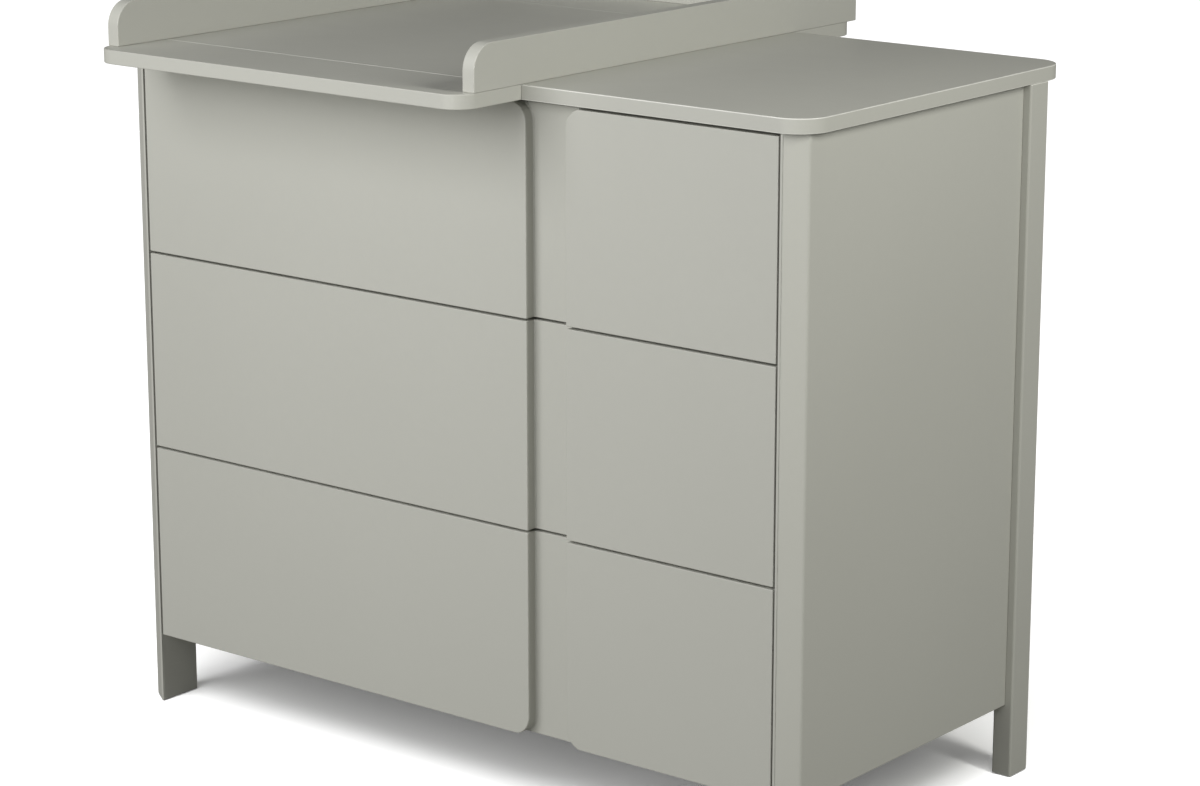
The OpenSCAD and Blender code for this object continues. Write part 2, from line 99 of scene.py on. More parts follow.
class FinishSettings(bpy.types.PropertyGroup):
    """Colours of the finishes."""

    lacquer: colour("Lacquer", "Satin lacquer on the boards and drawer fronts", "#BEBEB6")
    lacquer_cloud: colour("Lacquer cloud", "Slightly darker tone that the lacquer drifts to", "#BBBBB3")
    # The paler edge tone below is a painted highlight: it stands in for the sheen that the eased edges catch,
    # not for rubbing
    lacquer_edge_highlight: colour(
        "Lacquer, rubbed", "Paler tone of the lacquer on edges that hands and cloths rub", "#E6E6DF")
    foil: colour("Foil", "Foil on the drawer boxes", "#C6C5BB")
    hardboard: colour("Hardboard", "Paint on the back panel", "#B4B4A9")
    zinc: colour("Zinc", "Zinc plating on runners, plates and screws", "#C9CBCD")
    beech: colour("Beech", "Turned beech dowels", "#CDAA7D")
    glide: colour("Glides", "Polyethylene glides under the legs", "#5B5B58")


class ShapeSettings(bpy.types.PropertyGroup):
    """Sizes that the finished pieces add to the frame."""

    arris: length("Arris", "Radius of the boards' eased edges", 1.2, 0.2, 3)
    panel_arris: length("Panel arris", "Radius of the side panels' upright edges", 2.5, 0.5, 4)
    box_arris: length("Box arris", "Radius of the drawer boxes' eased edges", 0.7, 0.2, 2)
    metal_arris: length("Metal arris", "Radius of the punched plates' edges", 0.25, 0.05, 0.5)
    top_corner: length("Top board corner", "Radius of the top board's corners", 40, 10, 60)
    tray_corner: length("Tray corner", "Radius of the changing tray's outer corners", 30, 10, 40)
    guard_corner: length("Guard corner", "Radius of the guards' front top corners", 32, 10, 40)
    facet_width: length("Facet width", "Width of the side panels' front facet, across the front", 26, 5, 27)
    facet_depth: length("Facet depth", "Depth of the same facet, along the side", 17, 5, 25)
    leg_depth: length("Front leg depth", "Depth of the front leg that each side panel ends in", 65, 40, 90)
    channel_middle: length(
        "Channel middle", "How far the finger channel is right of the cabinet's middle", 166, 100, 200)
    channel_width: length("Channel width", "Width of the finger channel", 60, 40, 80)
    channel_depth: length("Channel depth", "Depth of the finger channel", 15, 8, 18)
    channel_foot: length("Channel foot", "Radius between the finger channel's walls and its floor", 2, 1, 7)
    panel_corner: length(
        "Raised panel corner", "Radius of the raised panels' corners at the channel's ends", 25, 5, 40)
    ball: length("Ball", "Diameter of the runners' bearing balls", 3.6, 2, 4)


class StageSettings(bpy.types.PropertyGroup):
    """Camera and light of the studio."""

    camera_at: bpy.props.FloatVectorProperty(
        name="Camera place", description="Where the camera stands",
        subtype="TRANSLATION", unit="LENGTH", default=(2.656, -3.304, 1.525))
    camera_turn: bpy.props.FloatProperty(
        name="Camera turn", description="How far the camera looks to the left of straight back",
        subtype="ANGLE", default=math.radians(38.58))
    camera_tilt: bpy.props.FloatProperty(
        name="Camera tilt", description="How far the camera looks down",
        subtype="ANGLE", default=math.radians(14.22))
    camera_lens: bpy.props.FloatProperty(
        name="Focal length", description="Focal length on a 36 mm wide sensor",
        subtype="DISTANCE_CAMERA", default=102.0, min=20, max=200)
    key_power: power("Key light", "Power of the tall softbox in front, in watts", 51.0)
    side_power: power("Side light", "Power of the softbox on the right, in watts", 35.0)
    fill_power: power("Fill light", "Power of the softbox in front that is nearer the camera, in watts", 18.0)
    rear_power: power("Rear light", "Power of the softbox behind and to the left, in watts", 70.0)
    floor_light: bpy.props.FloatProperty(
        name="Floor light", description="Strength of the light that only the floor takes",
        default=3.6, min=0)
    floor_glow: bpy.props.FloatProperty(
        name="Floor glow", description="Brightness of the floor in the deepest shadow, as the camera sees it",
        default=0.13, min=0)
    surround: bpy.props.FloatProperty(
        name="Surround", description="Brightness of the studio's walls as the table sees them",
        default=0.05, min=0)


SETTINGS = {
    "changing_table_finish": FinishSettings,
    "changing_table_shape": ShapeSettings,
    "changing_table_stage": StageSettings,
}


def shape():
    """The sizes that the pieces are built to."""
    return bpy.context.scene.changing_table_shape


def stage_settings():
    """The studio's settings."""
    return bpy.context.scene.changing_table_stage


# ---------------------------------------------------------------- node trees

def add(tree, kind, inputs=None, **settings):
    """Adds a node, gives it its settings, and sets or links its inputs."""
    new = tree.nodes.new(kind)
    for key, value in settings.items():
        setattr(new, key, value)
    for key, value in (inputs or {}).items():
        if isinstance(value, bpy.types.NodeSocket):
            tree.links.new(value, new.inputs[key])
        elif isinstance(value, (list, tuple)) and value and isinstance(value[0], bpy.types.NodeSocket):
            for socket in value:
                tree.links.new(socket, new.inputs[key])
        else:
            new.inputs[key].default_value = value
    return new


def shader(name):
    """A new material with an empty tree, and its Principled shader already at the output."""
    material = bpy.data.materials.new(name)
    material.use_nodes = True
    tree = material.node_tree
    tree.nodes.clear()
    surface = add(tree, "ShaderNodeBsdfPrincipled")
    add(tree, "ShaderNodeOutputMaterial", {"Surface": surface.outputs["BSDF"]})
    return material, tree, surface


def place(tree, stretch=(1, 1, 1)):
    """Object coordinates in metres, stretched along each axis."""
    where = add(tree, "ShaderNodeTexCoord").outputs["Object"]
    return add(tree, "ShaderNodeMapping", {"Vector": where, "Scale": stretch}).outputs["Vector"]


def noise(tree, vector, wavelength, detail=2.0, roughness=0.5):
    """Noise whose features are about wavelength metres wide."""
    return add(tree, "ShaderNodeTexNoise", {
        "Vector": vector, "Scale": 1 / wavelength, "Detail": detail, "Roughness": roughness}).outputs["Fac"]


def spread(tree, value, low, high, start=0.3, end=0.7):
    """A texture's value moved to the range from low to high."""
    return add(tree, "ShaderNodeMapRange", {
        "Value": value, "From Min": start, "From Max": end, "To Min": low, "To Max": high}).outputs["Result"]


def blend_colours(tree, factor, first, second):
    """Two colours mixed: the Mix node's colour sockets are inputs 6 and 7 and output 2."""
    return add(tree, "ShaderNodeMix", {"Factor": factor, 6: first, 7: second}, data_type="RGBA").outputs[2]


def tint(tree, surface, factor, first, second):
    """Gives a surface two colours mixed as its own."""
    tree.links.new(blend_colours(tree, factor, first, second), surface.inputs["Base Color"])


def toned(tone, *factors):
    """A colour with its channels multiplied by their factors, or all of them by the only one."""
    by_channel = factors * 3 if len(factors) == 1 else factors
    return [min(1.0, channel * factor) for channel, factor in zip(tone, by_channel)] + [1.0]


def bump(tree, surface, height, depth, strength=1.0):
    """Raises the surface by depth metres where height is 1."""
    relief = add(tree, "ShaderNodeBump", {"Height": height, "Distance": depth, "Strength": strength})
    tree.links.new(relief.outputs["Normal"], surface.inputs["Normal"])


# ---------------------------------------------------------------- materials

def satin_lacquer(name, base, cloud, painted_edge_highlight, rough=0.44):
    """Sprayed satin acid-curing lacquer on MDF.

    The eye sees an even, closed colour with a broad soft sheen. Spraying leaves a faint orange peel about
    2 mm across, drawn 6 mm across here so that it shows, and a slow drift in tone where the coats overlap.
    On the eased edges the tone is paler, a painted highlight for the sheen they catch, and the coat is a
    little glossier.
    """
    material, tree, surface = shader(name)
    where = place(tree)
    drift = spread(tree, noise(tree, where, 0.5, detail=1.0), 0.0, 1.0)
    mottle = spread(tree, noise(tree, where, 0.012, detail=4.0, roughness=0.6), 0.0, 0.4)
    eased_edge_mask = add(tree, "ShaderNodeAttribute", attribute_name="arris", attribute_type="GEOMETRY").outputs["Fac"]
    patchy_highlight_and_gloss = add(tree, "ShaderNodeMath", {0: eased_edge_mask, 1: spread(tree, noise(tree, where, 0.03), 0.5, 0.9)},
                 operation="MULTIPLY").outputs[0]
    drifting = blend_colours(tree, drift, base, cloud)
    mottled = blend_colours(tree, mottle, drifting, cloud)
    # Painted highlight: the eased edges take the paler tone in patches
    tint(tree, surface, patchy_highlight_and_gloss, mottled, painted_edge_highlight)
    uneven = spread(tree, noise(tree, where, 0.06, detail=4.0), rough - 0.02, rough + 0.03)
    polish = add(tree, "ShaderNodeMath", {0: patchy_highlight_and_gloss, 1: 0.12}, operation="MULTIPLY").outputs[0]
    tree.links.new(add(tree, "ShaderNodeMath", {0: uneven, 1: polish}, operation="SUBTRACT").outputs[0],
                   surface.inputs["Roughness"])
    surface.inputs["IOR"].default_value = 1.5
    bump(tree, surface, noise(tree, where, 0.006, detail=2.0), 0.00003)
    return material


def printed_foil(name, base):
    """Melamine foil pressed on fibreboard.

    The eye sees a flat matt face with a fine embossed pore, one way along the board.
    """
    material, tree, surface = shader(name)
    pores = noise(tree, place(tree, (1, 0.12, 1)), 0.0025, detail=3.0)
    darker = toned(base, 0.93)
    tint(tree, surface, spread(tree, pores, 0.0, 0.5), base, darker)
    surface.inputs["Roughness"].default_value = 0.55
    surface.inputs["IOR"].default_value = 1.5
    bump(tree, surface, pores, 0.00008)
    return material


def painted_hardboard(name, base):
    """Hardboard with one coat of roller paint.

    The eye sees a dull face with the roller's stipple, about 3 mm across.
    """
    material, tree, surface = shader(name)
    where = place(tree)
    stipple = noise(tree, where, 0.003, detail=3.0)
    darker = toned(base, 0.9)
    tint(tree, surface, spread(tree, noise(tree, where, 0.2), 0.0, 1.0), base, darker)
    surface.inputs["Roughness"].default_value = 0.7
    surface.inputs["IOR"].default_value = 1.48
    bump(tree, surface, stipple, 0.00015)
    return material


def zinc_plate(name, base, rough=0.36, spangle=0.012):
    """Bright zinc plating with a thin blue passivation.

    The eye sees a cool grey metal with soft reflections, cloudy in tone, with fine rolling lines.
    """
    material, tree, surface = shader(name)
    cloud = spread(tree, noise(tree, place(tree), spangle, detail=2.0), 0.0, 1.0)
    darker = toned(base, 0.88, 0.89, 0.92)
    tint(tree, surface, cloud, base, darker)
    surface.inputs["Metallic"].default_value = 1.0
    lines = noise(tree, place(tree, (1, 0.02, 1)), 0.0025, detail=1.0)
    tree.links.new(spread(tree, lines, rough - 0.03, rough + 0.05), surface.inputs["Roughness"])
    bump(tree, surface, lines, 0.00001)
    return material


def bearing_steel(name):
    """Hardened and polished ball steel. The eye sees small bright beads with sharp highlights."""
    material, tree, surface = shader(name)
    tone = spread(tree, noise(tree, place(tree), 0.006), 0.0, 1.0)
    tint(tree, surface, tone, linear("#D8D9DB"), linear("#BFC1C4"))
    surface.inputs["Metallic"].default_value = 1.0
    surface.inputs["Roughness"].default_value = 0.12
    return material


def turned_beech(name, base):
    """Beech, turned and fluted. The eye sees a pale pinkish wood with short darker flecks."""
    material, tree, surface = shader(name)
    grain = noise(tree, place(tree, (0.15, 1, 1)), 0.0015, detail=4.0)
    darker = toned(base, 0.75, 0.68, 0.6)
    tint(tree, surface, spread(tree, grain, 0.0, 1.0), base, darker)
    surface.inputs["Roughness"].default_value = 0.6
    surface.inputs["IOR"].default_value = 1.5
    bump(tree, surface, grain, 0.0001)
    return material


def moulded_polyethylene(name, base):
    """Injection-moulded polyethylene. The eye sees a waxy grey plastic with a fine sparked grain."""
    material, tree, surface = shader(name)
    grain = noise(tree, place(tree), 0.0012, detail=3.0)
    lighter = toned(base, 1.25)
    tint(tree, surface, spread(tree, grain, 0.0, 1.0), base, lighter)
    surface.inputs["Roughness"].default_value = 0.5
    surface.inputs["IOR"].default_value = 1.51
    bump(tree, surface, grain, 0.00005)
    return material


def make_finish(name):
    """A new material of that name."""
    colours = bpy.context.scene.changing_table_finish
    makers = {
        "satin_lacquer_greige": lambda: satin_lacquer(
            name, colours.lacquer, colours.lacquer_cloud, colours.lacquer_edge_highlight),
        "foil_drawer_box": lambda: printed_foil(name, colours.foil),
        "painted_hardboard": lambda: painted_hardboard(name, colours.hardboard),
        "zinc_plated_sheet": lambda: zinc_plate(name, colours.zinc),
        "zinc_plated_screw": lambda: zinc_plate(name, colours.zinc, rough=0.26, spangle=0.002),
        "polished_ball_steel": lambda: bearing_steel(name),
        "turned_beech": lambda: turned_beech(name, colours.beech),
        "moulded_polyethylene": lambda: moulded_polyethylene(name, colours.glide),
    }
    return makers[name]()


SLOT_FINISH = {
    "lacquer": "satin_lacquer_greige",
    "drawer_box": "foil_drawer_box",
    "back_board": "painted_hardboard",
    "beech": "turned_beech",
    "zinc_steel": "zinc_plated_sheet",
    "zinc_screw": "zinc_plated_screw",
    "glide": "moulded_polyethylene",
}


def finish(name):
    """The material of that name, made the first time that it is asked for."""
    return bpy.data.materials.get(name) or make_finish(name)


def node_finish(node):
    """The material of a CAD node's slot."""
    return finish(SLOT_FINISH[NODE_SLOT[node]])


# ---------------------------------------------------------------- meshes

def new_object(name, mesh):
    """An object in the scene, for a mesh, a lamp or a camera."""
    obj = bpy.data.objects.new(name, mesh)
    bpy.context.scene.collection.objects.link(obj)
    return obj


def mesh_object(name, bm):
    """A new object from a bmesh, its faces turned outwards."""
    bmesh.ops.recalc_face_normals(bm, faces=bm.faces)
    mesh = bpy.data.meshes.new(name)
    bm.to_mesh(mesh)
    bm.free()
    return new_object(name, mesh)


def bake(obj):
    """Turns what the modifiers make into the object's own mesh."""
    bpy.context.view_layer.update()
    made = bpy.data.meshes.new_from_object(obj.evaluated_get(bpy.context.evaluated_depsgraph_get()))
    obj.modifiers.clear()
    obj.data = made
    return obj


def remove(*objects):
    """Takes helper objects out of the scene again."""
    for obj in objects:
        bpy.data.objects.remove(obj)


def arc(centre, radius, start, end, steps):
    """Points on an arc between two angles in degrees, both ends among them."""
    angles = [math.radians(start + (end - start) * i / steps) for i in range(steps + 1)]
    return [(centre[0] + radius * math.cos(a), centre[1] + radius * math.sin(a)) for a in angles]


def rounded_outline(low, high, radii, steps=12):
    """A rectangle whose four corners, counter-clockwise from the low one, have their own radii."""
    corners = ((low[0], low[1]), (high[0], low[1]), (high[0], high[1]), (low[0], high[1]))
    inward = ((1, 1), (-1, 1), (-1, -1), (1, -1))
    points = []
    for i, (corner, way, radius) in enumerate(zip(corners, inward, radii)):
        if radius > 0:
            centre = (corner[0] + way[0] * radius, corner[1] + way[1] * radius)
            points += arc(centre, radius, 180 + 90 * i, 270 + 90 * i, steps)
        else:
            points.append(corner)
    return points


def in_space(axis, u, v, along):
    """A point from two coordinates across an axis (in X, Y, Z order) and one along it."""
    point = [u, v]
    point.insert(axis, along)
    return point


def prism(name, outline, axis, low, high):
    """A closed solid between two copies of an outline."""
    bm = bmesh.new()
    ends = [[bm.verts.new(in_space(axis, u, v, along)) for u, v in outline] for along in (low, high)]
    for end in ends:
        bm.faces.new(end)
    count = len(outline)
    for i in range(count):
        j = (i + 1) % count
        bm.faces.new((ends[0][i], ends[0][j], ends[1][j], ends[1][i]))
    return mesh_object(name, bm)


def across(corner, axis):
    """A corner's two coordinates across an axis."""
    return [corner[i] for i in range(3) if i != axis]


def cut(obj, *cutters):
    """Takes the cutters' shapes out of an object."""
    for cutter in cutters:
        knife = obj.modifiers.new("Cut", "BOOLEAN")
        knife.operation = "DIFFERENCE"
        knife.solver = "EXACT"
        knife.object = cutter
    bake(obj)
    remove(*cutters)
    return obj


def ease(obj, radius, segments=3, radius_of=None):
    """Rounds an object's sharp edges to the radius, or to the smaller one that radius_of gives an edge."""
    bm = bmesh.new()
    bm.from_mesh(obj.data)
    weights = bm.edges.layers.float.get("bevel_weight_edge") or bm.edges.layers.float.new("bevel_weight_edge")
    for edge in bm.edges:
        if len(edge.link_faces) == 2 and edge.calc_face_angle(0) > SHARP:
            edge[weights] = radius_of(edge) / radius if radius_of else 1.0
    for face in bm.faces:
        face.smooth = True
    bm.to_mesh(obj.data)
    bm.free()
    rounder = obj.modifiers.new("Ease", "BEVEL")
    rounder.width = radius
    rounder.segments = segments
    rounder.limit_method = "WEIGHT"
    rounder.use_clamp_overlap = False
    rounder.harden_normals = True
    rounder.miter_outer = "MITER_ARC"
    rounder.material = 1
    bake(obj)
    marks = [float(face.material_index) for face in obj.data.polygons]
    obj.data.polygons.foreach_set("material_index", [0] * len(marks))
    shade_wide_faces_flat(obj, marks)
    return mark_arrises(obj, marks)


def shade_wide_faces_flat(obj, marks, wide=600 * MM * MM):
    """Shades a piece's wide faces flat. Its eased edges and narrow faces keep their round shading."""
    mesh = obj.data
    normals = [corner.vector.copy() for corner in mesh.corner_normals]
    for face, mark in zip(mesh.polygons, marks):
        if face.area > wide and not mark:
            for corner in face.loop_indices:
                normals[corner] = face.normal.copy()
    mesh.normals_split_custom_set(normals)


def mark_arrises(obj, marks):
    """Notes on each face whether it belongs to an eased edge, for the finish to put a painted highlight and
    more gloss there.
    """
    old = obj.data.attributes.get("arris")
    if old:
        obj.data.attributes.remove(old)
    obj.data.attributes.new("arris", "FLOAT", "FACE").data.foreach_set("value", marks)
    return obj


def upright(edge):
    """Whether an edge stands on end."""
    first, second = (v.co for v in edge.verts)
    return abs(first.z - second.z) > 0.99 * (first - second).length


def eased_copy(node, radius, segments=2):
    """A copy of a CAD node with its triangles merged into whole faces and its edges rounded."""
    source = frame["nodes"][node]
    bm = bmesh.new()
    bm.from_mesh(source.data)
    bmesh.ops.remove_doubles(bm, verts=bm.verts, dist=WELD)
    bmesh.ops.dissolve_limit(bm, angle_limit=FLAT, verts=bm.verts, edges=bm.edges)
    mesh = bpy.data.meshes.new("finished_" + node)
    bm.to_mesh(mesh)
    bm.free()
    return ease(new_object("finished_" + node, mesh), radius, segments)


def put(obj, material, *nodes, body=None):
    """Gives a finished piece its material and its body, and hides the CAD nodes that it stands for."""
    obj.data.materials.clear()
    obj.data.materials.append(material)
    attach(obj, body or NODE_BODY[nodes[0]])
    if nodes:
        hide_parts(*nodes)
    return obj


def shells(node):
    """The vertices of each separate solid of a CAD node."""
    bm = bmesh.new()
    bm.from_mesh(frame["nodes"][node].data)
    bmesh.ops.remove_doubles(bm, verts=bm.verts, dist=WELD)
    left, found = set(bm.verts), []
    while left:
        group, next_ones = set(), [next(iter(left))]
        while next_ones:
            vert = next_ones.pop()
            if vert in left:
                left.discard(vert)
                group.add(vert)
                next_ones += [e.other_vert(vert) for e in vert.link_edges]
        found.append([v.co.copy() for v in group])
    bm.free()
    return sorted(found, key=lambda points: tuple(round(c, 4) for c in sum(points, Vector()) / len(points)))


def span(points):
    """Lowest and highest corner of some points."""
    return (Vector([min(p[i] for p in points) for i in range(3)]),
            Vector([max(p[i] for p in points) for i in range(3)]))


# ---------------------------------------------------------------- Geometry Nodes

def geometry_tree(name, sockets):
    """A Geometry Nodes tree with named inputs, and the outputs of its Group Input node."""
    tree = bpy.data.node_groups.new(name, "GeometryNodeTree")
    tree.interface.new_socket("Geometry", in_out="OUTPUT", socket_type="NodeSocketGeometry")
    tree.interface.new_socket("Geometry", in_out="INPUT", socket_type="NodeSocketGeometry")
    for label, kind, default in sockets:
        socket = tree.interface.new_socket(label, in_out="INPUT", socket_type="NodeSocket" + kind)
        if default is not None:
            socket.default_value = default
    tree.interface.new_socket("Material", in_out="INPUT", socket_type="NodeSocketMaterial")
    return tree, add(tree, "NodeGroupInput").outputs


def close_tree(tree, inputs, geometry):
    """Ends a tree in Realize Instances and Set Material."""
    real = add(tree, "GeometryNodeRealizeInstances", {"Geometry": geometry})
    dressed = add(tree, "GeometryNodeSetMaterial", {
        "Geometry": real.outputs["Geometry"], "Material": inputs["Material"]})
    add(tree, "NodeGroupOutput", {"Geometry": dressed.outputs["Geometry"]})
    return tree


def grow(name, mesh, tree, material, **values):
    """Runs a tree on a mesh and keeps the result. Underscores in a value's name stand for spaces."""
    obj = new_object(name, mesh)
    growth = obj.modifiers.new("Shape", "NODES")
    growth.node_group = tree
    given = {key.replace("_", " "): value for key, value in values.items()}
    given["Material"] = material
    for item in tree.interface.items_tree:
        if item.in_out == "INPUT" and item.name in given:
            growth[item.identifier] = given[item.name]
    return bake(obj)


def loop_mesh(name, points):
    """A closed loop of edges through points."""
    mesh = bpy.data.meshes.new(name)
    count = len(points)
    mesh.from_pydata([list(p) for p in points], [(i, (i + 1) % count) for i in range(count)], [])
    return mesh


def eased_board_tree():
    """A board whose rim is a round-edged section carried round its outline, closed by two flat faces."""
    tree, given = geometry_tree("Eased board", [
        ("Rim", "Object", None), ("Thickness", "Float", 0.018)])
    path = add(tree, "GeometryNodeMeshToCurve", {"Mesh": given["Geometry"]})
    upright_path = add(tree, "GeometryNodeSetCurveNormal", {"Curve": path.outputs["Curve"]}, mode="Z_UP")
    rim_shape = add(tree, "GeometryNodeObjectInfo", {"Object": given["Rim"]})
    section = add(tree, "GeometryNodeMeshToCurve", {"Mesh": rim_shape.outputs["Geometry"]})
    rim = add(tree, "GeometryNodeCurveToMesh", {
        "Curve": upright_path.outputs["Curve"], "Profile Curve": section.outputs["Curve"]})
    face = add(tree, "GeometryNodeFillCurve", {"Curve": path.outputs["Curve"]}, mode="NGONS")
    lift = add(tree, "ShaderNodeCombineXYZ", {"Z": given["Thickness"]})
    upper = add(tree, "GeometryNodeTransform", {
        "Geometry": face.outputs["Mesh"], "Translation": lift.outputs["Vector"]})
    under = add(tree, "GeometryNodeFlipFaces", {"Mesh": face.outputs["Mesh"]})
    whole = add(tree, "GeometryNodeJoinGeometry", {"Geometry": [
        rim.outputs["Mesh"], upper.outputs["Geometry"], under.outputs["Mesh"]]})
    merged = add(tree, "GeometryNodeMergeByDistance", {
        "Geometry": whole.outputs["Geometry"], "Distance": WELD})
    smooth = add(tree, "GeometryNodeSetShadeSmooth", {"Geometry": merged.outputs["Geometry"]})
    return close_tree(tree, given, smooth.outputs["Geometry"])


def grow_board(name, outline, low_z, high_z, radius, material, steps=4):
    """An eased board between two heights. The outline already stands in by the edge's radius."""
    thickness = high_z - low_z
    section = arc((0, -radius), radius, 90, 0, steps) + arc((0, radius - thickness), radius, 0, -90, steps)
    rim_mesh = bpy.data.meshes.new("rim_section")
    points = [(x, y, 0) for x, y in section]
    rim_mesh.from_pydata(points, [(i, i + 1) for i in range(len(points) - 1)], [])
    rim = new_object("rim_section", rim_mesh)
    tree = bpy.data.node_groups.get("Eased board") or eased_board_tree()
    path = loop_mesh(name, [(x, y, 0) for x, y in outline])
    board = grow(name, path, tree, material, Rim=rim, Thickness=thickness)
    remove(rim)
    for vert in board.data.vertices:
        vert.co.z += low_z
    level_normals(board)
    steep, level = 0.1, 0.99
    return mark_arrises(board, [float(steep < abs(face.normal.z) < level) for face in board.data.polygons])


def level_normals(obj):
    """Lets the large flat faces set the shading, so that they stay flat beside their rounded edges."""
    obj.modifiers.new("Normals", "WEIGHTED_NORMAL").weight = 100
    return bake(obj)


def screw_tree():
    """Screws on points, turned along each point's way: a shank, and a head with a cross or hexagon let in."""
    tree, given = geometry_tree("Screws", [
        ("Head diameter", "Float", 0.008), ("Head height", "Float", 0.0016),
        ("Shank diameter", "Float", 0.004), ("Length", "Float", 0.012),
        ("Dome", "Float", 0.7), ("Hexagon", "Bool", False), ("Drive", "Float", 0.004)])

    def times(value, factor):
        return add(tree, "ShaderNodeMath", {0: value, 1: factor}, operation="MULTIPLY").outputs[0]

    def moved(mesh, z):
        offset = add(tree, "ShaderNodeCombineXYZ", {"Z": z})
        return add(tree, "GeometryNodeTransform", {
            "Geometry": mesh, "Translation": offset.outputs["Vector"]}).outputs["Geometry"]

    rim_r = times(given["Head diameter"], 0.5)
    top_r = add(tree, "ShaderNodeMath", {0: rim_r, 1: given["Dome"]}, operation="MULTIPLY").outputs[0]
    half_head = times(given["Head height"], 0.5)
    shank = add(tree, "GeometryNodeMeshCylinder", {
        "Vertices": 12, "Radius": times(given["Shank diameter"], 0.5), "Depth": given["Length"]})
    collar = add(tree, "GeometryNodeMeshCylinder", {"Vertices": 24, "Radius": rim_r, "Depth": half_head})
    dome = add(tree, "GeometryNodeMeshCone", {
        "Vertices": 24, "Radius Top": rim_r, "Radius Bottom": top_r, "Depth": half_head})
    head = add(tree, "GeometryNodeMeshBoolean", {
        "Mesh 2": [moved(collar.outputs["Mesh"], times(given["Head height"], -0.25)),
                   moved(dome.outputs["Mesh"], times(given["Head height"], -1.0))]}, operation="UNION")
    slot = add(tree, "ShaderNodeCombineXYZ", {
        "X": given["Drive"], "Y": times(given["Drive"], 0.25), "Z": given["Head height"]})
    bar = add(tree, "GeometryNodeMeshCube", {"Size": slot.outputs["Vector"]})
    turned = add(tree, "GeometryNodeTransform", {
        "Geometry": bar.outputs["Mesh"], "Rotation": (0, 0, math.pi / 2)})
    cross = add(tree, "GeometryNodeMeshBoolean", {
        "Mesh 2": [bar.outputs["Mesh"], turned.outputs["Geometry"]]}, operation="UNION")
    hexagon = add(tree, "GeometryNodeMeshCylinder", {
        "Vertices": 6, "Radius": times(given["Drive"], 0.5), "Depth": given["Head height"]})
    drive = add(tree, "GeometryNodeSwitch", {
        "Switch": given["Hexagon"], "False": cross.outputs["Mesh"], "True": hexagon.outputs["Mesh"]},
        input_type="GEOMETRY")
    tool = moved(drive.outputs["Output"], times(given["Head height"], -0.9))
    driven = add(tree, "GeometryNodeMeshBoolean", {"Mesh 1": head.outputs["Mesh"], "Mesh 2": tool},
                 operation="DIFFERENCE")
    screw = add(tree, "GeometryNodeJoinGeometry", {"Geometry": [
        driven.outputs["Mesh"], moved(shank.outputs["Mesh"], times(given["Length"], 0.5))]})
    way = add(tree, "GeometryNodeInputNamedAttribute", {"Name": "way"}, data_type="FLOAT_VECTOR")
    turn = add(tree, "FunctionNodeAlignRotationToVector", {"Vector": way.outputs["Attribute"]}, axis="Z")
    placed = add(tree, "GeometryNodeInstanceOnPoints", {
        "Points": given["Geometry"], "Instance": screw.outputs["Geometry"],
        "Rotation": turn.outputs["Rotation"]})
    return close_tree(tree, given, placed.outputs["Instances"])


def screw_seats(node, head_height):
    """For each screw of a CAD node: the point under its head, the way it points and its shank's length."""
    near = 0.05 * MM
    seats = []
    for points in shells(node):
        low, high = span(points)
        axis = max(range(3), key=lambda i: high[i] - low[i])
        middle = (low + high) / 2

        def reach(end):
            ring = [p for p in points if abs(p[axis] - end) < near]
            return max((Vector(across(p, axis)) - Vector(across(middle, axis))).length for p in ring)

        way = Vector((0, 0, 0))
        way[axis] = 1.0 if reach(low[axis]) > reach(high[axis]) else -1.0
        seat = middle.copy()
        seat[axis] = (low if way[axis] > 0 else high)[axis]
        seats.append((seat + way * head_height, way, high[axis] - low[axis] - head_height))
    return seats


def points_with_ways(name, seats):
    """A mesh of the seats' points, each with the way that its screw points."""
    mesh = bpy.data.meshes.new(name)
    mesh.from_pydata([list(seat) for seat, _, _ in seats], [], [])
    ways = mesh.attributes.new("way", "FLOAT_VECTOR", "POINT")
    ways.data.foreach_set("vector", [c for _, way, _ in seats for c in way])
    return mesh


def grow_screws(node, head, head_height, shank, dome, hexagon, drive):
    """Replaces a CAD node of plain screws by screws with driven heads."""
    tree = bpy.data.node_groups.get("Screws") or screw_tree()
    seats = screw_seats(node, head_height)
    made = grow("finished_" + node, points_with_ways(node + "_points", seats), tree, node_finish(node),
                Head_diameter=head, Head_height=head_height, Shank_diameter=shank, Length=seats[0][2],
                Dome=dome, Hexagon=hexagon, Drive=drive)
    put(made, node_finish(node), node)


